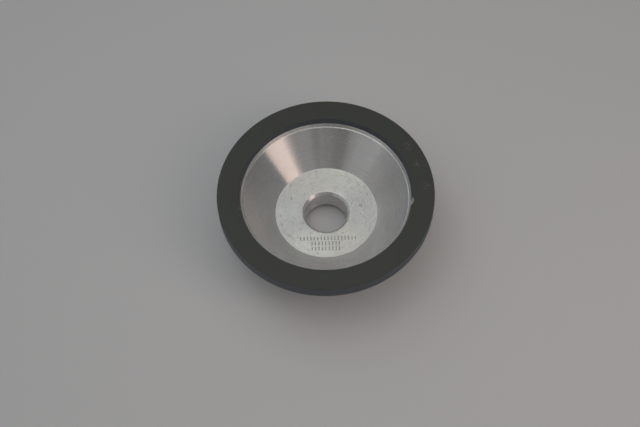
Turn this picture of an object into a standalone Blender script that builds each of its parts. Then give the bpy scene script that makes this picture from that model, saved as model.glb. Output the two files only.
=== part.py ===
"""Flaring cup grinding wheel with a resin-bond diamond rim, 100 mm across and 32 mm high.

The origin is the centre of the flat back, +Z is the spindle axis and points from the back
towards the grinding face. Lengths are in metres.
"""
import math

import bpy

MM = 0.001
GAP = 0.3 * MM                      # left between pieces that are pressed together

# ---- driving dimensions ----------------------------------------------------------------
WHEEL_RADIUS = 50.0 * MM
WHEEL_HEIGHT = 32.0 * MM
BORE_RADIUS = 10.0 * MM             # 20 mm arbor
RIM_WIDTH = 10.0 * MM               # of the grinding face
ABRASIVE_DEPTH = 3.0 * MM
RING_HEIGHT = 6.1 * MM              # abrasive and backing together, on the outer side
RIM_WALL_TAPER = 0.25               # the ring's inner wall leans out this much per unit of height

FLOOR_HEIGHT = 12.8 * MM            # web thickness at the hub
FLOOR_RADIUS = 24.1 * MM
FLOOR_FILLET = 0.8 * MM
BORE_TOP_CHAMFER = 1.2 * MM
BORE_BACK_CHAMFER = 0.5 * MM

LEDGE_HEIGHT = 27.4 * MM            # the fine step where the flared wall ends
LEDGE_INNER_RADIUS = 38.0 * MM
LEDGE_WIDTH = 0.4 * MM

HUB_RADIUS = 27.0 * MM
HUB_CHAMFER = 0.5 * MM
RELIEF_RADIUS = 16.0 * MM           # shallow turned relief round the bore, in the back
RELIEF_DEPTH = 2.2 * MM

SEAT_INSET = 0.4 * MM               # the aluminium seat stops this far inside the ring's side
SEAT_EDGE = 0.3 * MM                # square edge between the seat and the outer cone
LIP_WIDTH = 2.1 * MM                # lip that the abrasive ring is pressed over
KEY_INNER_RADIUS = 44.0 * MM        # groove that keys the backing to the body
KEY_WIDTH = 2.7 * MM
KEY_DEPTH = 1.2 * MM
KEY_FLARE = 0.2 * MM                # slope of each groove side over its depth

TURN_STEPS = 96
FILLET_STEPS = 4
SHARP_ANGLE = math.radians(20)
MERGE_DISTANCE = 0.01 * MM

# ---- heights worked out from them ------------------------------------------------------
ABRASIVE_BOTTOM = WHEEL_HEIGHT - ABRASIVE_DEPTH
BACKING_TOP = ABRASIVE_BOTTOM - GAP
BACKING_BOTTOM = WHEEL_HEIGHT - RING_HEIGHT
SEAT_HEIGHT = BACKING_BOTTOM - GAP
FACE_INNER_RADIUS = WHEEL_RADIUS - RIM_WIDTH


def ring_inner_radius(height):
    """Radius of the ring's inner wall, which leans outward towards the grinding face."""
    return FACE_INNER_RADIUS - (WHEEL_HEIGHT - height) * RIM_WALL_TAPER


def arc(centre, radius, start, end, steps):
    """Points on a circular arc between two angles, in radius and height."""
    points = []
    for step in range(steps + 1):
        angle = start + (end - start) * step / steps
        points.append((centre[0] + radius * math.cos(angle), centre[1] + radius * math.sin(angle)))
    return points


def principled(name, colour, metallic, roughness):
    """A plain material with one Principled BSDF."""
    material = bpy.data.materials.new(name)
    material.use_nodes = True
    shader = material.node_tree.nodes["Principled BSDF"]
    shader.inputs["Base Color"].default_value = (*colour, 1.0)
    shader.inputs["Metallic"].default_value = metallic
    shader.inputs["Roughness"].default_value = roughness
    material.diffuse_color = (*colour, 1.0)
    return material


def turned(name, profile, material, collection):
    """A closed profile of (radius, height) points, swept a full turn about Z.

    The profile runs down its outer side and back up its inner side.
    """
    outline = bpy.data.meshes.new(name + "_profile")
    edges = [(i, (i + 1) % len(profile)) for i in range(len(profile))]
    outline.from_pydata([(radius, 0.0, height) for radius, height in profile], edges, [])
    piece = bpy.data.objects.new(name, outline)
    collection.objects.link(piece)
    screw = piece.modifiers.new("turn", "SCREW")
    screw.axis = "Z"
    screw.angle = 2 * math.pi
    screw.steps = TURN_STEPS
    screw.render_steps = TURN_STEPS
    screw.use_merge_vertices = True
    screw.merge_threshold = MERGE_DISTANCE

    evaluated = piece.evaluated_get(bpy.context.evaluated_depsgraph_get())
    solid = bpy.data.meshes.new_from_object(evaluated)
    solid.name = name
    piece.modifiers.clear()
    piece.data = solid
    bpy.data.meshes.remove(outline)
    solid.materials.append(material)
    solid.shade_smooth()
    solid.set_sharp_from_angle(angle=SHARP_ANGLE)
    return piece


def aluminium_body(collection):
    """Turned aluminium cup: hub with the bore, flared wall, and the seat that carries the ring."""
    lip_inner = ring_inner_radius(BACKING_TOP)
    lip_outer = lip_inner + LIP_WIDTH
    seat_outer = WHEEL_RADIUS - SEAT_INSET
    cone_top = SEAT_HEIGHT - SEAT_EDGE
    cone_bottom = cone_top - (seat_outer - HUB_RADIUS)
    key_outer = KEY_INNER_RADIUS + KEY_WIDTH
    key_floor = SEAT_HEIGHT - KEY_DEPTH

    slope = math.atan2(LEDGE_HEIGHT - FLOOR_HEIGHT, LEDGE_INNER_RADIUS - FLOOR_RADIUS)
    tangent = FLOOR_FILLET * math.tan(slope / 2)
    fillet_centre = (FLOOR_RADIUS - tangent, FLOOR_HEIGHT + FLOOR_FILLET)
    fillet = arc(fillet_centre, FLOOR_FILLET, -math.pi / 2, -math.pi / 2 + slope, FILLET_STEPS)

    profile = [
        (lip_inner, BACKING_TOP),
        (lip_outer, BACKING_TOP),
        (lip_outer, SEAT_HEIGHT),
        (KEY_INNER_RADIUS, SEAT_HEIGHT),
        (KEY_INNER_RADIUS + KEY_FLARE, key_floor),
        (key_outer - KEY_FLARE, key_floor),
        (key_outer, SEAT_HEIGHT),
        (seat_outer, SEAT_HEIGHT),
        (seat_outer, cone_top),
        (HUB_RADIUS, cone_bottom),
        (HUB_RADIUS, HUB_CHAMFER),
        (HUB_RADIUS - HUB_CHAMFER, 0.0),
        (RELIEF_RADIUS, 0.0),
        (RELIEF_RADIUS, RELIEF_DEPTH),
        (BORE_RADIUS + BORE_BACK_CHAMFER, RELIEF_DEPTH),
        (BORE_RADIUS, RELIEF_DEPTH + BORE_BACK_CHAMFER),
        (BORE_RADIUS, FLOOR_HEIGHT - BORE_TOP_CHAMFER),
        (BORE_RADIUS + BORE_TOP_CHAMFER, FLOOR_HEIGHT),
        *fillet,
        (LEDGE_INNER_RADIUS, LEDGE_HEIGHT),
        (LEDGE_INNER_RADIUS + LEDGE_WIDTH, LEDGE_HEIGHT),
    ]
    material = principled("turned_aluminium", (0.56, 0.56, 0.55), 1.0, 0.35)
    return turned("aluminium_body", profile, material, collection)


def backing_ring(collection):
    """Resin ring without diamond, moulded on the seat and keyed into its groove."""
    inner = ring_inner_radius(BACKING_TOP) + LIP_WIDTH + GAP
    rib_inner = KEY_INNER_RADIUS + GAP
    rib_outer = KEY_INNER_RADIUS + KEY_WIDTH - GAP
    rib_bottom = SEAT_HEIGHT - KEY_DEPTH + GAP
    profile = [
        (inner, BACKING_TOP),
        (WHEEL_RADIUS, BACKING_TOP),
        (WHEEL_RADIUS, BACKING_BOTTOM),
        (rib_outer, BACKING_BOTTOM),
        (rib_outer - KEY_FLARE, rib_bottom),
        (rib_inner + KEY_FLARE, rib_bottom),
        (rib_inner, BACKING_BOTTOM),
        (inner, BACKING_BOTTOM),
    ]
    material = principled("backing_resin", (0.035, 0.032, 0.034), 0.0, 0.5)
    return turned("resin_backing_ring", profile, material, collection)


def diamond_ring(collection):
    """Flat ring of diamond grit in resin, with the grinding face on top."""
    profile = [
        (FACE_INNER_RADIUS, WHEEL_HEIGHT),
        (WHEEL_RADIUS, WHEEL_HEIGHT),
        (WHEEL_RADIUS, ABRASIVE_BOTTOM),
        (ring_inner_radius(ABRASIVE_BOTTOM), ABRASIVE_BOTTOM),
    ]
    material = principled("diamond_resin", (0.045, 0.047, 0.040), 0.0, 0.6)
    return turned("diamond_abrasive_ring", profile, material, collection)


for old in list(bpy.data.objects):
    bpy.data.objects.remove(old, do_unlink=True)

wheel = bpy.data.collections.new("diamond_cup_wheel")
bpy.context.scene.collection.children.link(wheel)
aluminium_body(wheel)
backing_ring(wheel)
diamond_ring(wheel)
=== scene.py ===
"""Flaring cup diamond wheel: a turned aluminium body, a moulded backing ring and a diamond rim.

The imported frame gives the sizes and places. This script makes the finished surfaces, the light
and the camera. Lengths are in metres.
"""
import math

import bpy
import numpy as np
from mathutils import Matrix, Vector


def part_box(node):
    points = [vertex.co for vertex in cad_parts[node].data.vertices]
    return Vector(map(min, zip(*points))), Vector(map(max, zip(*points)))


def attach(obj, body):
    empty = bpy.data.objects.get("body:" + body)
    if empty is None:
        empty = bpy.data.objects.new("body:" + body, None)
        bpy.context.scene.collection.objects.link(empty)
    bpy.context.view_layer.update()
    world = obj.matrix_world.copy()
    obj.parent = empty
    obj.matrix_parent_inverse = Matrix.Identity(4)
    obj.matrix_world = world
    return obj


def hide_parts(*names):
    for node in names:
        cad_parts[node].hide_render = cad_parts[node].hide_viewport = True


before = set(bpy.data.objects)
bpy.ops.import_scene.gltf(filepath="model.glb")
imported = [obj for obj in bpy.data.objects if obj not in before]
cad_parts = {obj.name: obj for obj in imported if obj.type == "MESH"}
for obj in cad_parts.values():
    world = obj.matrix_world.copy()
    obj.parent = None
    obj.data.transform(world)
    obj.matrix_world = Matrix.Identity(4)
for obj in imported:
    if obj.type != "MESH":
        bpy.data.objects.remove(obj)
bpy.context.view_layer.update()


# ---- Aluminium body --------------------------------------------------------------------
# One piece of aluminium bar, turned all over: a hub with a 20 mm bore, a wall that flares at
# about 45 degrees, and a seat that carries the rim. The flare is cut with a fine feed and
# shines in sectors; the hub is faced with a coarser cut and looks paler and mottled.
MM = 0.001
HUB_RADIUS = 27.0 * MM
HUB_CHAMFER = 0.5 * MM
RELIEF_RADIUS = 16.0 * MM
RELIEF_DEPTH = 2.2 * MM
BORE_RADIUS = 10.0 * MM
BORE_BACK_CHAMFER = 0.5 * MM
BORE_TOP_CHAMFER = 1.2 * MM
BORE_GROOVE = 0.4 * MM              # width of the rings that the boring tool left
BORE_GROOVES = (0.9 * MM, 2.0 * MM, 3.3 * MM, 7.2 * MM)    # their height above the back chamfer
FLOOR_HEIGHT = 12.8 * MM
FLOOR_RADIUS = 24.1 * MM
FLOOR_FILLET = 0.25 * MM
LEDGE_INNER_RADIUS = 38.1 * MM
LEDGE_HEIGHT = 27.4 * MM
LEDGE_WIDTH = 0.42 * MM
LEDGE_RISE = 0.16 * MM              # how far its outer side stands above its inner side
LIP_WIDTH = 2.1 * MM
SEAT_EDGE = 0.3 * MM
TURNED_EDGE = 0.12 * MM             # the small round that deburring leaves on a turned edge
JOINT = 0.04 * MM                   # what is left open between bonded pieces
RIM_WIDTH = 10.0 * MM
RIM_WALL_TAPER = 0.25
KEY_DEPTH = 1.2 * MM                # the seat's groove, and the backing's rib that fills it
KEY_FLARE = 0.2 * MM
KEY_INNER_RADIUS = 44.0 * MM
KEY_WIDTH = 2.7 * MM
TURN_COLUMNS = 216
SHARP_ANGLE = 35.0                  # degrees; a steeper edge between two faces is shown sharp


def rounded(corners, steps=3):
    """A closed outline of (radius, height, edge) corners with every corner rounded.

    Each corner P is cut back by its edge size along both sides, to A and B, and the cut is
    bridged by the curve (1-t)^2 A + 2t(1-t) P + t^2 B, with t from 0 to 1.
    """
    corners = np.array(corners, float)
    point, edge = corners[:, :2], corners[:, 2:]
    before = np.roll(point, 1, axis=0) - point
    after = np.roll(point, -1, axis=0) - point
    start = point + edge * before / np.linalg.norm(before, axis=1, keepdims=True)
    end = point + edge * after / np.linalg.norm(after, axis=1, keepdims=True)
    t = np.linspace(0.0, 1.0, steps + 1)[None, :, None]
    curve = (1 - t) ** 2 * start[:, None] + 2 * t * (1 - t) * point[:, None] + t**2 * end[:, None]
    return curve.reshape(-1, 2)


def refined(outline, low, high, spacing):
    """The closed outline with extra points between two radii, from the hub face upwards.

    Lengths along the outline are added at even spacing, except close to its own points, and
    radius and height are read off there by straight interpolation.
    """
    closed = np.vstack([outline, outline[:1]])
    length = np.concatenate([[0.0], np.cumsum(np.linalg.norm(np.diff(closed, axis=0), axis=1))])
    extra = np.arange(0.0, length[-1], spacing)
    radius = np.interp(extra, length, closed[:, 0])
    height = np.interp(extra, length, closed[:, 1])
    too_close = 0.3 * spacing
    clear = np.abs(extra[:, None] - length).min(axis=1) > too_close
    wanted = extra[(radius > low) & (radius < high) & clear & (height > FLOOR_HEIGHT - TURNED_EDGE)]
    every = np.union1d(length[:-1], wanted)
    return np.stack([np.interp(every, length, closed[:, side]) for side in (0, 1)], axis=1)


def swept(outline, angles):
    """Radius, height and angle grids of an outline carried round Z: one row for each outline
    point and one column for each angle."""
    radius = np.repeat(outline[:, :1], len(angles), axis=1)
    height = np.repeat(outline[:, 1:], len(angles), axis=1)
    angle = np.repeat(angles[None, :], len(outline), axis=0)
    return radius, height, angle


def ring_mesh(name, radius, height, angle):
    """A closed ring surface from three grids: x is radius times cos(angle), y is radius times
    sin(angle), z is height, and the last row and column join the first."""
    rows, columns = radius.shape
    points = np.stack([radius * np.cos(angle), radius * np.sin(angle), height], axis=-1).reshape(-1, 3)
    index = np.arange(rows * columns).reshape(rows, columns)
    down = np.roll(index, -1, axis=0)
    quads = np.stack([index, down, np.roll(down, -1, axis=1), np.roll(index, -1, axis=1)], axis=-1)
    mesh = bpy.data.meshes.new(name)
    mesh.from_pydata(points, [], quads.reshape(-1, 4))
    mesh.shade_smooth()
    mesh.set_sharp_from_angle(angle=math.radians(SHARP_ANGLE))
    piece = bpy.data.objects.new(name, mesh)
    bpy.context.scene.collection.objects.link(piece)
    flat = piece.modifiers.new("flat_faces_stay_flat", "WEIGHTED_NORMAL")
    flat.keep_sharp = True
    return piece


def linear(code):
    """An sRGB hex colour as linear red, green, blue and alpha, where alpha is 1."""
    part = np.array([int(code[i:i + 2], 16) for i in (1, 3, 5)]) / 255
    value = np.where(part <= 0.04045, part / 12.92, ((part + 0.055) / 1.055) ** 2.4)
    return (*value.tolist(), 1.0)


def add(tree, kind, inputs=None, **settings):
    """Adds a node, sets its properties, and gives each named input a value or a link."""
    node = tree.nodes.new(kind)
    for name, value in settings.items():
        setattr(node, name, value)
    for name, value in (inputs or {}).items():
        if isinstance(value, bpy.types.NodeSocket):
            tree.links.new(value, node.inputs[name])
        else:
            node.inputs[name].default_value = value
    return node


def blank(name):
    """A material with only its output, and that output."""
    material = bpy.data.materials.new(name)
    material.use_nodes = True
    material.node_tree.nodes.clear()
    return material, add(material.node_tree, "ShaderNodeOutputMaterial")


def lathe_coordinates(tree, arcs, across):
    """Coordinates that follow a lathe cut, so that a pattern is drawn out along the circles: x
    and y are arcs times the unit direction from the axis, and z is across times the sum of
    radius and height."""
    place = add(tree, "ShaderNodeTexCoord").outputs["Object"]
    flat = add(tree, "ShaderNodeVectorMath", {0: place, 1: (1, 1, 0)}, operation="MULTIPLY")
    heading = add(tree, "ShaderNodeVectorMath", {0: flat.outputs[0]}, operation="NORMALIZE")
    radius = add(tree, "ShaderNodeVectorMath", {0: flat.outputs[0]}, operation="LENGTH")
    height = add(tree, "ShaderNodeSeparateXYZ", {0: place}).outputs["Z"]
    way = add(tree, "ShaderNodeMath", {0: radius.outputs["Value"], 1: height}, operation="ADD")
    step = add(tree, "ShaderNodeMath", {0: way.outputs[0], 1: across}, operation="MULTIPLY")
    lift = add(tree, "ShaderNodeCombineXYZ", {"Z": step.outputs[0]})
    spread = add(tree, "ShaderNodeVectorMath", {0: heading.outputs[0], "Scale": arcs}, operation="SCALE")
    lathe = add(tree, "ShaderNodeVectorMath", {0: spread.outputs[0], 1: lift.outputs[0]}, operation="ADD")
    return lathe.outputs[0]


def fine_turned_aluminium():
    """Aluminium turned with a fine feed. The cut leaves rings too fine to see one by one, so
    light is spread across them and stays narrow along them; the rings drawn are 0.35 mm wide."""
    material, output = blank("fine_turned_aluminium")
    tree = material.node_tree
    rings = add(tree, "ShaderNodeTexNoise", {"Vector": lathe_coordinates(tree, 2.0, 1 / (0.35 * MM)),
                                             "Scale": 1.0, "Detail": 3.0, "Roughness": 0.6})
    broad = add(tree, "ShaderNodeTexNoise", {"Vector": lathe_coordinates(tree, 1.5, 1 / (6 * MM)),
                                             "Scale": 1.0, "Detail": 2.0})
    tone = add(tree, "ShaderNodeMapRange", {"Value": rings.outputs["Fac"], "From Min": 0.3, "From Max": 0.7,
                                            "To Min": 0.267, "To Max": 0.275})
    shade = add(tree, "ShaderNodeMix", {"Factor": broad.outputs["Fac"], "A": linear("#DADADA"),
                                        "B": linear("#E6E5E3")}, data_type="RGBA")
    bump = add(tree, "ShaderNodeBump", {"Height": rings.outputs["Fac"], "Strength": 0.01,
                                        "Distance": 0.005 * MM})
    tangent = add(tree, "ShaderNodeTangent", direction_type="RADIAL", axis="Z")
    shader = add(tree, "ShaderNodeBsdfPrincipled", {
        "Base Color": shade.outputs["Result"], "Metallic": 1.0, "Roughness": tone.outputs["Result"],
        "Anisotropic": 1.0, "Anisotropic Rotation": 0.25, "Normal": bump.outputs["Normal"],
        "Tangent": tangent.outputs["Tangent"]})
    tree.links.new(shader.outputs["BSDF"], output.inputs["Surface"])
    return material


def faced_aluminium():
    """Aluminium faced with a coarser cut that tears a little: pale, with short arcs, cloudy
    patches and small dark tears. The point attribute "peened" holds the depth of the peened
    marks, and the colour is darkened there as painted shade in the dents."""
    material, output = blank("faced_aluminium")
    tree = material.node_tree
    arcs = add(tree, "ShaderNodeTexNoise", {"Vector": lathe_coordinates(tree, 10.0, 1 / (0.45 * MM)),
                                            "Scale": 1.0, "Detail": 4.0, "Roughness": 0.7})
    cloud = add(tree, "ShaderNodeTexNoise", {"Vector": lathe_coordinates(tree, 3.5, 1 / (4 * MM)),
                                             "Scale": 1.0, "Detail": 3.0, "Roughness": 0.6})
    tears = add(tree, "ShaderNodeTexNoise", {"Vector": lathe_coordinates(tree, 8.0, 1 / (0.45 * MM)),
                                             "Scale": 1.0, "Detail": 3.0, "Roughness": 0.6})
    mixed = add(tree, "ShaderNodeMix", {"Factor": 0.3, "A": arcs.outputs["Fac"], "B": cloud.outputs["Fac"]})
    level = add(tree, "ShaderNodeMapRange", {"Value": mixed.outputs["Result"], "From Min": 0.38,
                                             "From Max": 0.62})
    shade = add(tree, "ShaderNodeMix", {"Factor": level.outputs["Result"], "A": linear("#E4E5DF"),
                                        "B": linear("#FEFEF9")}, data_type="RGBA")
    torn = add(tree, "ShaderNodeMapRange", {"Value": tears.outputs["Fac"], "From Min": 0.30,
                                            "From Max": 0.40, "To Min": 0.45, "To Max": 1.0})
    peened = add(tree, "ShaderNodeAttribute", attribute_name="peened")
    # Painted shade: inside the peened dents the colour is darkened to 0.14, standing in for shade in the
    # recesses.
    dent_painted_shade = add(tree, "ShaderNodeMapRange", {"Value": peened.outputs["Fac"], "To Min": 1.0, "To Max": 0.14})
    dark = add(tree, "ShaderNodeMath", {0: torn.outputs["Result"], 1: dent_painted_shade.outputs["Result"]},
               operation="MULTIPLY")
    final = add(tree, "ShaderNodeVectorMath", {0: shade.outputs["Result"], "Scale": dark.outputs[0]},
                operation="SCALE")
    tone = add(tree, "ShaderNodeMapRange", {"Value": arcs.outputs["Fac"], "From Min": 0.3, "From Max": 0.7,
                                            "To Min": 0.30, "To Max": 0.44})
    bump = add(tree, "ShaderNodeBump", {"Height": arcs.outputs["Fac"], "Strength": 0.8,
                                        "Distance": 0.03 * MM})
    tangent = add(tree, "ShaderNodeTangent", direction_type="RADIAL", axis="Z")
    shader = add(tree, "ShaderNodeBsdfPrincipled", {
        "Base Color": final.outputs[0], "Metallic": 1.0, "Roughness": tone.outputs["Result"],
        "Anisotropic": 0.8, "Anisotropic Rotation": 0.25, "Normal": bump.outputs["Normal"],
        "Tangent": tangent.outputs["Tangent"]})
    tree.links.new(shader.outputs["BSDF"], output.inputs["Surface"])
    return material


PEENED_ROWS = ((17, 0.6 * MM), (9, -0.5 * MM), (9, -0.5 * MM))    # ticks in a row, and its shift
PEENED_START = -13.9 * MM
PEENED_LINE = 2.65 * MM
PEENED_PITCH = 1.6 * MM
PEENED_DOTS = 4
PEENED_DOT_PITCH = 0.5 * MM
PEENED_RADIUS = 0.30 * MM
PEENED_DEPTH = 0.10 * MM
PEENED_SECTOR = (215.0, 325.0)      # degrees; the mesh is finer here, and between these radii
PEENED_INNER_RADIUS = 12.5 * MM
PEENED_OUTER_RADIUS = 23.0 * MM
PEENED_GRID = 0.15 * MM
PEENED_COLUMNS = 264
FACED_DEPTH = 0.3 * MM              # how far below the hub face the facing cut's finish reaches


def peened_rows(radius, height, angle):
    """How deep each grid point lies in a peened dot, from 0 to 1.

    The rows are plain even ticks, each tick a short upright line of dots. A dot's depth is one
    minus the square of the distance from its middle over its radius.
    """
    x, y = radius * np.cos(angle), radius * np.sin(angle)
    depth = np.zeros_like(radius)
    for row, (count, offset) in enumerate(PEENED_ROWS):
        along = (np.arange(count) - (count - 1) / 2) * PEENED_PITCH + offset
        line = PEENED_START - row * PEENED_LINE
        rise = (np.arange(PEENED_DOTS) - (PEENED_DOTS - 1) / 2) * PEENED_DOT_PITCH
        spots = np.stack(np.meshgrid(along, line + rise), axis=-1).reshape(-1, 2)
        near = (np.abs(y - line) < PEENED_LINE) & (np.abs(height - FLOOR_HEIGHT) < TURNED_EDGE)
        gap = np.hypot(x[near][:, None] - spots[:, 0], y[near][:, None] - spots[:, 1]).min(axis=1)
        depth[near] = np.maximum(depth[near], np.clip(1 - (gap / PEENED_RADIUS) ** 2, 0, 1))
    return depth


def body_outline():
    """The outline of the whole body, run down its outer side and back up the bore and the flare."""
    lip_outer = lip_radius + LIP_WIDTH
    flare = rounded([
        (lip_radius, lip_top, TURNED_EDGE),
        (lip_outer, lip_top, TURNED_EDGE),
        (lip_outer, seat_height, TURNED_EDGE),
        (KEY_INNER_RADIUS, seat_height, TURNED_EDGE),
        (KEY_INNER_RADIUS - KEY_FLARE, seat_height - KEY_DEPTH, TURNED_EDGE),
        (KEY_INNER_RADIUS + KEY_WIDTH + KEY_FLARE, seat_height - KEY_DEPTH, TURNED_EDGE),
        (KEY_INNER_RADIUS + KEY_WIDTH, seat_height, TURNED_EDGE),
        (seat_radius, seat_height, TURNED_EDGE / 2),
        (seat_radius, seat_height - SEAT_EDGE, TURNED_EDGE / 2),
        (HUB_RADIUS, seat_height - SEAT_EDGE - (seat_radius - HUB_RADIUS), TURNED_EDGE),
        (HUB_RADIUS, HUB_CHAMFER, TURNED_EDGE),
        (HUB_RADIUS - HUB_CHAMFER, 0.0, TURNED_EDGE),
        (RELIEF_RADIUS, 0.0, TURNED_EDGE),
        (RELIEF_RADIUS, RELIEF_DEPTH, TURNED_EDGE),
        (BORE_RADIUS + BORE_BACK_CHAMFER, RELIEF_DEPTH, TURNED_EDGE),
        (BORE_RADIUS, RELIEF_DEPTH + BORE_BACK_CHAMFER, TURNED_EDGE),
        *[(BORE_RADIUS + depth, RELIEF_DEPTH + BORE_BACK_CHAMFER + rise, TURNED_EDGE / 3)
          for middle in BORE_GROOVES for depth, rise in
          ((0.0, middle - BORE_GROOVE / 2), (BORE_GROOVE / 3, middle), (0.0, middle + BORE_GROOVE / 2))],
        (BORE_RADIUS, FLOOR_HEIGHT - BORE_TOP_CHAMFER, TURNED_EDGE),
        (BORE_RADIUS + BORE_TOP_CHAMFER, FLOOR_HEIGHT, TURNED_EDGE),
        (FLOOR_RADIUS, FLOOR_HEIGHT, FLOOR_FILLET),
        (LEDGE_INNER_RADIUS, LEDGE_HEIGHT, TURNED_EDGE / 2),
        (LEDGE_INNER_RADIUS + LEDGE_WIDTH, LEDGE_HEIGHT + LEDGE_RISE, TURNED_EDGE / 2),
    ])
    return refined(flare, PEENED_INNER_RADIUS, PEENED_OUTER_RADIUS, PEENED_GRID)


rim_low, rim_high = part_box("diamond_abrasive_ring")
backing_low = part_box("resin_backing_ring")[0]
body_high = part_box("aluminium_body")[1]
wheel_radius = rim_high.x
face_height = rim_high.z
seat_radius = body_high.x
seat_height = backing_low.z + KEY_DEPTH - JOINT
lip_top = rim_low.z - JOINT
lip_radius = wheel_radius - RIM_WIDTH - (face_height - lip_top) * RIM_WALL_TAPER

marked = np.radians(PEENED_SECTOR)
angles = np.union1d(np.linspace(0, 2 * math.pi, TURN_COLUMNS, endpoint=False),
                    np.linspace(*marked, PEENED_COLUMNS))
radius, height, angle = swept(body_outline(), angles)
peened = peened_rows(radius, height, angle)
body = ring_mesh("aluminium_body_turned", radius, height - PEENED_DEPTH * peened, angle)
body.data.attributes.new("peened", "FLOAT", "POINT").data.foreach_set("value", peened.ravel())
body.data.materials.append(fine_turned_aluminium())
body.data.materials.append(faced_aluminium())
hub_face = (height[:, :1] > FLOOR_HEIGHT - FACED_DEPTH) & (radius[:, :1] < FLOOR_RADIUS)
lip_face = height[:, :1] > lip_top - TURNED_EDGE / 2
faced = hub_face | lip_face
faced = np.repeat(faced & np.roll(faced, -1, axis=0), len(angles), axis=1)
body.data.polygons.foreach_set("material_index", faced.astype(np.int32).ravel())
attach(body, "root")
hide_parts("aluminium_body")


# ---- Backing ring ----------------------------------------------------------------------
# Phenolic resin without diamond, pressed hot on the aluminium seat and keyed into its groove.
# Its moulded side is a dark blue grey with a dull shine.
RESIN_EDGE = 0.1 * MM
RING_COLUMNS = 360


def moulded_resin():
    """Moulded phenolic resin: dark blue grey, smooth, with faint cloudy patches of filler."""
    material, output = blank("moulded_phenolic_resin")
    tree = material.node_tree
    cloud = add(tree, "ShaderNodeTexNoise", {"Vector": lathe_coordinates(tree, 8.0, 1 / (2 * MM)),
                                             "Scale": 1.0, "Detail": 3.0})
    shade = add(tree, "ShaderNodeMix", {"Factor": cloud.outputs["Fac"], "A": linear("#3F4852"),
                                        "B": linear("#4C545E")}, data_type="RGBA")
    place = add(tree, "ShaderNodeTexCoord").outputs["Object"]
    grain = add(tree, "ShaderNodeTexNoise", {"Vector": place, "Scale": 1 / (0.4 * MM), "Detail": 2.0})
    bump = add(tree, "ShaderNodeBump", {"Height": grain.outputs["Fac"], "Strength": 0.3,
                                        "Distance": 0.02 * MM})
    shader = add(tree, "ShaderNodeBsdfPrincipled", {
        "Base Color": shade.outputs["Result"], "Roughness": 0.45, "IOR": 1.6,
        "Normal": bump.outputs["Normal"]})
    tree.links.new(shader.outputs["BSDF"], output.inputs["Surface"])
    return material


seat = backing_low.z + KEY_DEPTH
rib_inner = KEY_INNER_RADIUS + JOINT
rib_outer = KEY_INNER_RADIUS + KEY_WIDTH - JOINT
backing_outline = rounded([
    (lip_radius + LIP_WIDTH + JOINT, lip_top, RESIN_EDGE),
    (wheel_radius, lip_top, RESIN_EDGE),
    (wheel_radius, seat, RESIN_EDGE),
    (rib_outer, seat, RESIN_EDGE),
    (rib_outer + KEY_FLARE, backing_low.z, RESIN_EDGE),
    (rib_inner - KEY_FLARE, backing_low.z, RESIN_EDGE),
    (rib_inner, seat, RESIN_EDGE),
    (lip_radius + LIP_WIDTH + JOINT, seat, RESIN_EDGE),
])
even_angles = np.linspace(0, 2 * math.pi, RING_COLUMNS, endpoint=False)
backing = ring_mesh("resin_backing_moulded", *swept(backing_outline, even_angles))
backing.data.materials.append(moulded_resin())
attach(backing, "root")
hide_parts("resin_backing_ring")


# ---- Diamond ring ----------------------------------------------------------------------
# Diamond grit in the same resin, 3 mm deep, trued flat and round with a silicon carbide stick.
# The trued face is dark olive grey and matt, and its walls are as they left the mould. Two
# small chips in its inner edge show paler broken resin.
FACE_EDGE = 0.25 * MM
# Each chip has its heading in degrees, how far it runs from there towards larger headings and
# towards smaller ones, and its depth.
CHIPS = ((-7.9, 1.9 * MM, 2.7 * MM, 0.60 * MM), (191.0, 0.6 * MM, 0.6 * MM, 0.25 * MM))
CHIP_SLOPE = 0.36                   # how far a chip runs towards the middle for each step down
CHIP_FADE = 0.9 * MM                # keeps a chip's ends inside the wall
RUBS = ((31.3, 45.2 * MM), (17.3, 45.4 * MM), (2.4, 45.9 * MM))    # heading in degrees, and radius
RUB_REACH = 3.2 * MM
RUB_STRENGTH = 0.45
CHIP_COLUMNS = 60
ANGLE_DECIMALS = 4                  # columns that agree to this many decimals are one column
WALL_ROWS = 9
WALL_MARGIN = 0.12                  # the share of the wall left free above and below its rows
FACE_ROWS = 24
FACE_INNER_MARGIN = 1.0 * MM        # kept free of rows, so that no chip reaches one
FACE_OUTER_MARGIN = 0.5 * MM
ROW_EDGE = 0.01 * MM                # an edge too small to show, on rows that only divide a flat face
TRUED, MOULDED, BROKEN = 0, 1, 2    # the order of the rim's materials


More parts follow.
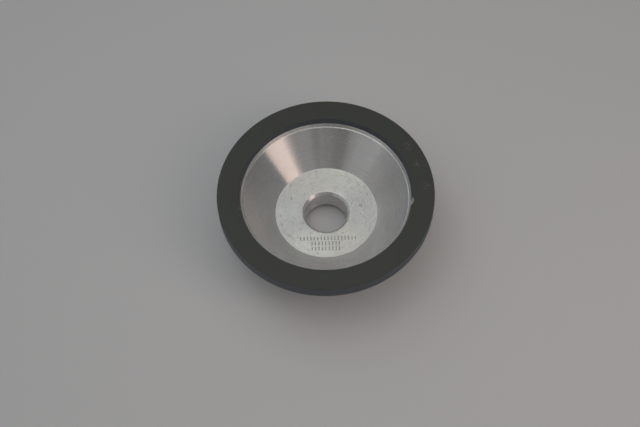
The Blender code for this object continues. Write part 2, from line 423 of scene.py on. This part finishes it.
def diamond_resin():
    """Resin bond with diamond grit, ground flat. The 0.06 mm grains are drawn at 0.5 mm so that
    they show. Faint pale streaks fade out from the middle of each rub."""
    material, output = blank("resin_bonded_diamond")
    tree = material.node_tree
    place = add(tree, "ShaderNodeTexCoord").outputs["Object"]
    grain = add(tree, "ShaderNodeTexNoise", {"Vector": place, "Scale": 1 / (0.5 * MM), "Detail": 3.0,
                                             "Roughness": 0.7})
    cloud = add(tree, "ShaderNodeTexNoise", {"Vector": lathe_coordinates(tree, 4.0, 1 / (4 * MM)),
                                             "Scale": 1.0, "Detail": 2.0})
    fine = add(tree, "ShaderNodeMix", {"Factor": grain.outputs["Fac"], "A": linear("#353934"),
                                       "B": linear("#494D46")}, data_type="RGBA")
    shade = add(tree, "ShaderNodeMix", {"Factor": 0.12, "A": fine.outputs["Result"],
                                        "B": cloud.outputs["Color"]}, data_type="RGBA", blend_type="OVERLAY")
    streaks = add(tree, "ShaderNodeTexNoise", {"Vector": place, "Scale": 1 / (1.4 * MM), "Detail": 3.0,
                                               "Roughness": 0.6})
    pale = add(tree, "ShaderNodeMapRange", {"Value": streaks.outputs["Fac"], "From Min": 0.48,
                                            "From Max": 0.70, "To Max": RUB_STRENGTH})
    gap = 1.0
    for degrees, distance in RUBS:
        turn = math.radians(degrees)
        middle = (distance * math.cos(turn), distance * math.sin(turn), face_height)
        away = add(tree, "ShaderNodeVectorMath", {0: place, 1: middle}, operation="DISTANCE")
        least = add(tree, "ShaderNodeMath", {0: away.outputs["Value"], 1: gap}, operation="MINIMUM")
        gap = least.outputs[0]
    near = add(tree, "ShaderNodeMapRange", {"Value": gap, "From Max": RUB_REACH, "To Min": 1.0,
                                            "To Max": 0.0})
    rubbed = add(tree, "ShaderNodeMath", {0: pale.outputs["Result"], 1: near.outputs["Result"]},
                 operation="MULTIPLY")
    worn = add(tree, "ShaderNodeMix", {"Factor": rubbed.outputs[0], "A": shade.outputs["Result"],
                                       "B": linear("#9A9A94")}, data_type="RGBA")
    bump = add(tree, "ShaderNodeBump", {"Height": grain.outputs["Fac"], "Strength": 0.5,
                                        "Distance": 0.04 * MM})
    shader = add(tree, "ShaderNodeBsdfPrincipled", {
        "Base Color": worn.outputs["Result"], "Roughness": 0.6, "IOR": 1.6,
        "Normal": bump.outputs["Normal"]})
    tree.links.new(shader.outputs["BSDF"], output.inputs["Surface"])
    return material


def broken_resin():
    """Freshly broken resin bond: paler and rougher than the ground face."""
    material, output = blank("broken_resin_bond")
    tree = material.node_tree
    place = add(tree, "ShaderNodeTexCoord").outputs["Object"]
    crumb = add(tree, "ShaderNodeTexNoise", {"Vector": place, "Scale": 1 / (0.3 * MM), "Detail": 3.0})
    shade = add(tree, "ShaderNodeMix", {"Factor": crumb.outputs["Fac"], "A": linear("#A4A49E"),
                                        "B": linear("#C6C6C0")}, data_type="RGBA")
    bump = add(tree, "ShaderNodeBump", {"Height": crumb.outputs["Fac"], "Distance": 0.1 * MM})
    shader = add(tree, "ShaderNodeBsdfPrincipled", {
        "Base Color": shade.outputs["Result"], "Roughness": 0.8, "Normal": bump.outputs["Normal"]})
    tree.links.new(shader.outputs["BSDF"], output.inputs["Surface"])
    return material


def chipped(radius, height, angle):
    """Cuts the ring's inner wall back where its edge is chipped. The wall is nowhere nearer to
    the axis than its top edge plus the chip's depth times sqrt(1 - (arc length / half width)^2),
    less the slope times the distance below the face. Two sines, with waves of about 1.1 mm and
    0.7 mm, make it ragged by up to a tenth. Each chip has its own half width on either side."""
    moved = radius
    for degrees, ahead, behind, depth in CHIPS:
        arc = (np.mod(math.radians(degrees) - angle + math.pi, 2 * math.pi) - math.pi) * FACE_INNER_RADIUS
        bite = np.sqrt(np.clip(1 - (arc / np.where(arc < 0, ahead, behind)) ** 2, 0, 1))
        coarse = 0.06 * np.sin(arc / (0.17 * MM))
        fine = 0.05 * np.sin(arc / (0.11 * MM) + height / (0.3 * MM))
        ragged = 1 + coarse + fine
        reach = FACE_INNER_RADIUS + (depth + CHIP_FADE) * bite * ragged - CHIP_FADE
        moved = np.maximum(moved, reach - (face_height - height) * CHIP_SLOPE)
    return moved, height, angle


FACE_INNER_RADIUS = wheel_radius - RIM_WIDTH
WALL_FOOT_RADIUS = FACE_INNER_RADIUS - (face_height - rim_low.z) * RIM_WALL_TAPER
wall_steps = np.linspace(WALL_MARGIN, 1 - WALL_MARGIN, WALL_ROWS)
face_steps = np.linspace(FACE_INNER_RADIUS + FACE_INNER_MARGIN, wheel_radius - FACE_OUTER_MARGIN, FACE_ROWS)
rim_outline = rounded([
    (FACE_INNER_RADIUS, face_height, FACE_EDGE),
    *[(step, face_height, ROW_EDGE) for step in face_steps],
    (wheel_radius, face_height, FACE_EDGE),
    (wheel_radius, rim_low.z, RESIN_EDGE),
    (WALL_FOOT_RADIUS, rim_low.z, RESIN_EDGE),
    *[(WALL_FOOT_RADIUS + step * (FACE_INNER_RADIUS - WALL_FOOT_RADIUS),
       rim_low.z + step * (face_height - rim_low.z), ROW_EDGE) for step in wall_steps],
])
chip_angles = np.concatenate([
    math.radians(degrees) + np.linspace(-behind, ahead, CHIP_COLUMNS) / FACE_INNER_RADIUS
    for degrees, ahead, behind, depth in CHIPS])
rim_angles = np.union1d(even_angles, np.mod(chip_angles, 2 * math.pi))
rim_angles = np.unique(np.round(rim_angles, ANGLE_DECIMALS))
rim_radius, rim_height, rim_angle = swept(rim_outline, rim_angles)
cut_radius, rim_height, rim_angle = chipped(rim_radius, rim_height, rim_angle)
rim = ring_mesh("diamond_rim_trued", cut_radius, rim_height, rim_angle)
for finish in (diamond_resin(), backing.data.materials[0], broken_resin()):
    rim.data.materials.append(finish)
trued = np.minimum(rim_height, np.roll(rim_height, -1, axis=0)) > face_height - 0.5 * FACE_EDGE
bitten = (cut_radius > rim_radius) & (np.roll(cut_radius, -1, axis=0) > np.roll(rim_radius, -1, axis=0))
finish_of_face = np.where(bitten, BROKEN, np.where(trued, TRUED, MOULDED))
rim.data.polygons.foreach_set("material_index", finish_of_face.astype(np.int32).ravel())
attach(rim, "root")
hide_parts("diamond_abrasive_ring")


# ---- Table -----------------------------------------------------------------------------
# A board painted a matt pale grey. It lies flat under the hub and is wide enough to fill the
# view.
def pale_board():
    """Matt painted board, even pale grey."""
    material, output = blank("matt_painted_board")
    tree = material.node_tree
    shader = add(tree, "ShaderNodeBsdfPrincipled", {"Base Color": linear("#E2E3E4"), "Roughness": 0.8})
    tree.links.new(shader.outputs["BSDF"], output.inputs["Surface"])
    return material


BOARD_HALF = 1.5                    # half of its side
board_mesh = bpy.data.meshes.new("table")
board_corners = [(-BOARD_HALF, -BOARD_HALF, 0), (BOARD_HALF, -BOARD_HALF, 0), (BOARD_HALF, BOARD_HALF, 0),
                 (-BOARD_HALF, BOARD_HALF, 0)]
board_mesh.from_pydata(board_corners, [], [(0, 1, 2, 3)])
board = bpy.data.objects.new("table", board_mesh)
bpy.context.scene.collection.objects.link(board)
board.data.materials.append(pale_board())


# ---- Light -----------------------------------------------------------------------------
# A pale room lit mostly from overhead: a soft sky that is bright at the top, dimmer towards
# the right, and dark behind the camera; a warm soft light on the right; a wide one overhead;
# pale ones behind, on the left and in front on the left; and a thin strip in front.
SKY_TOP, SKY_TOP_POWER = 0.30, 4.0
SKY_SIDE, SKY_SIDE_SWING = 0.155, 0.045
SKY_SIDE_HEADING = 160.0            # degrees; the heading where the side is brightest
SKY_SIDE_LIMIT, SKY_SIDE_FADE = 0.85, 0.1    # sine of the elevation where the side ends, and its fade
DARK_HEADING, DARK_HALF_WIDTH, DARK_EDGE = -97.0, 23.0, 3.0    # degrees


def room():
    """The room as a sky. Its top grows as the fourth power of the direction's height. Its side
    swings with the cosine of the heading, ends at its limit, and is dark behind the camera."""
    world = bpy.data.worlds.new("pale_room")
    world.use_nodes = True
    tree = world.node_tree
    tree.nodes.clear()
    output = add(tree, "ShaderNodeOutputWorld")
    way = add(tree, "ShaderNodeSeparateXYZ", {0: add(tree, "ShaderNodeTexCoord").outputs["Generated"]})
    up = add(tree, "ShaderNodeMath", {0: way.outputs["Z"], 1: 0.0}, operation="MAXIMUM")
    rise = add(tree, "ShaderNodeMath", {0: up.outputs[0], 1: SKY_TOP_POWER}, operation="POWER")
    top = add(tree, "ShaderNodeMath", {0: rise.outputs[0], 1: SKY_TOP}, operation="MULTIPLY")
    heading = add(tree, "ShaderNodeMath", {0: way.outputs["Y"], 1: way.outputs["X"]}, operation="ARCTAN2")
    turned = add(tree, "ShaderNodeMath", {0: heading.outputs[0], 1: math.radians(SKY_SIDE_HEADING)},
                 operation="SUBTRACT")
    swing = add(tree, "ShaderNodeMath", {0: turned.outputs[0]}, operation="COSINE")
    side = add(tree, "ShaderNodeMath", {0: swing.outputs[0], 1: SKY_SIDE_SWING, 2: SKY_SIDE},
               operation="MULTIPLY_ADD")
    off = add(tree, "ShaderNodeMath", {0: heading.outputs[0], 1: math.radians(DARK_HEADING)},
              operation="SUBTRACT")
    aside = add(tree, "ShaderNodeMath", {0: off.outputs[0]}, operation="ABSOLUTE")
    lit = add(tree, "ShaderNodeMapRange", {
        "Value": aside.outputs[0], "From Min": math.radians(DARK_HALF_WIDTH - DARK_EDGE),
        "From Max": math.radians(DARK_HALF_WIDTH + DARK_EDGE)})
    low = add(tree, "ShaderNodeMapRange", {
        "Value": way.outputs["Z"], "From Min": SKY_SIDE_LIMIT - SKY_SIDE_FADE,
        "From Max": SKY_SIDE_LIMIT + SKY_SIDE_FADE, "To Min": 1.0, "To Max": 0.0})
    shown = add(tree, "ShaderNodeMath", {0: lit.outputs["Result"], 1: low.outputs["Result"]},
                operation="MULTIPLY")
    strength = add(tree, "ShaderNodeMath", {0: side.outputs[0], 1: shown.outputs[0], 2: top.outputs[0]},
                   operation="MULTIPLY_ADD")
    sky = add(tree, "ShaderNodeBackground", {"Color": linear("#F8FAFA"), "Strength": strength.outputs[0]})
    tree.links.new(sky.outputs["Background"], output.inputs["Surface"])
    bpy.context.scene.world = world


def soft_light(name, heading, elevation, distance, width, height, watts, colour):
    """A rectangular soft light that faces the origin. Its place is the distance times the unit
    direction at a heading and an elevation, in degrees."""
    lamp = bpy.data.lights.new(name, "AREA")
    lamp.shape = "RECTANGLE"
    lamp.size = width
    lamp.size_y = height
    lamp.energy = watts
    lamp.color = linear(colour)[:3]
    light = bpy.data.objects.new(name, lamp)
    level = math.cos(math.radians(elevation))
    away = Vector((level * math.cos(math.radians(heading)), level * math.sin(math.radians(heading)),
                   math.sin(math.radians(elevation))))
    light.location = away * distance
    light.rotation_euler = away.to_track_quat("Z", "Y").to_euler()
    bpy.context.scene.collection.objects.link(light)


room()
soft_light("warm_light", heading=-30.0, elevation=37.0, distance=0.7, width=0.28, height=0.42,
           watts=0.46, colour="#FFE2D4")
soft_light("top_light", heading=-60.0, elevation=78.0, distance=0.45, width=0.50, height=0.50,
           watts=0.30, colour="#FFF9F4")
soft_light("back_light", heading=90.0, elevation=60.0, distance=1.0, width=0.50, height=0.50,
           watts=0.12, colour="#FFFFFF")
soft_light("back_left_light", heading=130.0, elevation=50.0, distance=1.0, width=0.40, height=0.40,
           watts=0.32, colour="#F2F7FF")
soft_light("top_left_light", heading=165.0, elevation=74.0, distance=0.6, width=0.25, height=0.25,
           watts=0.12, colour="#FFFFFF")
soft_light("left_light", heading=180.0, elevation=50.0, distance=1.0, width=0.40, height=0.40,
           watts=0.13, colour="#F2F7FF")
soft_light("front_left_light", heading=-145.0, elevation=25.0, distance=1.0, width=0.50, height=0.50,
           watts=0.105, colour="#F2F7FF")
soft_light("front_strip", heading=-86.0, elevation=38.0, distance=1.0, width=0.035, height=0.50,
           watts=0.011, colour="#FFFFFF")


# ---- Camera ----------------------------------------------------------------------------
# A long lens looks down into the cup from the front, at a point on its axis. The camera is a
# little off level, and the wheel lies a little off the middle of the view.
ELEVATION = math.radians(60.41)
CAMERA_DISTANCE = 0.5763
PIVOT = Vector((0.0, 0.0, 0.020))
YAW, PITCH, ROLL = math.radians(0.288), math.radians(-0.406), math.radians(1.475)
FOCAL_LENGTH = 69.43                # in the camera's millimetres, as is the sensor width
SENSOR_WIDTH = 36.0
NEAREST = 0.01                      # what is nearer than this isn't drawn
lens = bpy.data.cameras.new("camera")
lens.lens = FOCAL_LENGTH
lens.sensor_width = SENSOR_WIDTH
lens.clip_start = NEAREST
camera = bpy.data.objects.new("camera", lens)
tilt = Matrix.Rotation(math.pi / 2 - ELEVATION, 4, "X")
aim = Matrix.Rotation(YAW, 4, "Y") @ Matrix.Rotation(PITCH, 4, "X") @ Matrix.Rotation(-ROLL, 4, "Z")
eye = PIVOT + CAMERA_DISTANCE * Vector((0.0, -math.cos(ELEVATION), math.sin(ELEVATION)))
camera.matrix_world = Matrix.Translation(eye) @ tilt @ aim
bpy.context.scene.collection.objects.link(camera)
bpy.context.scene.camera = camera
bpy.context.scene.view_settings.view_transform = "Standard"
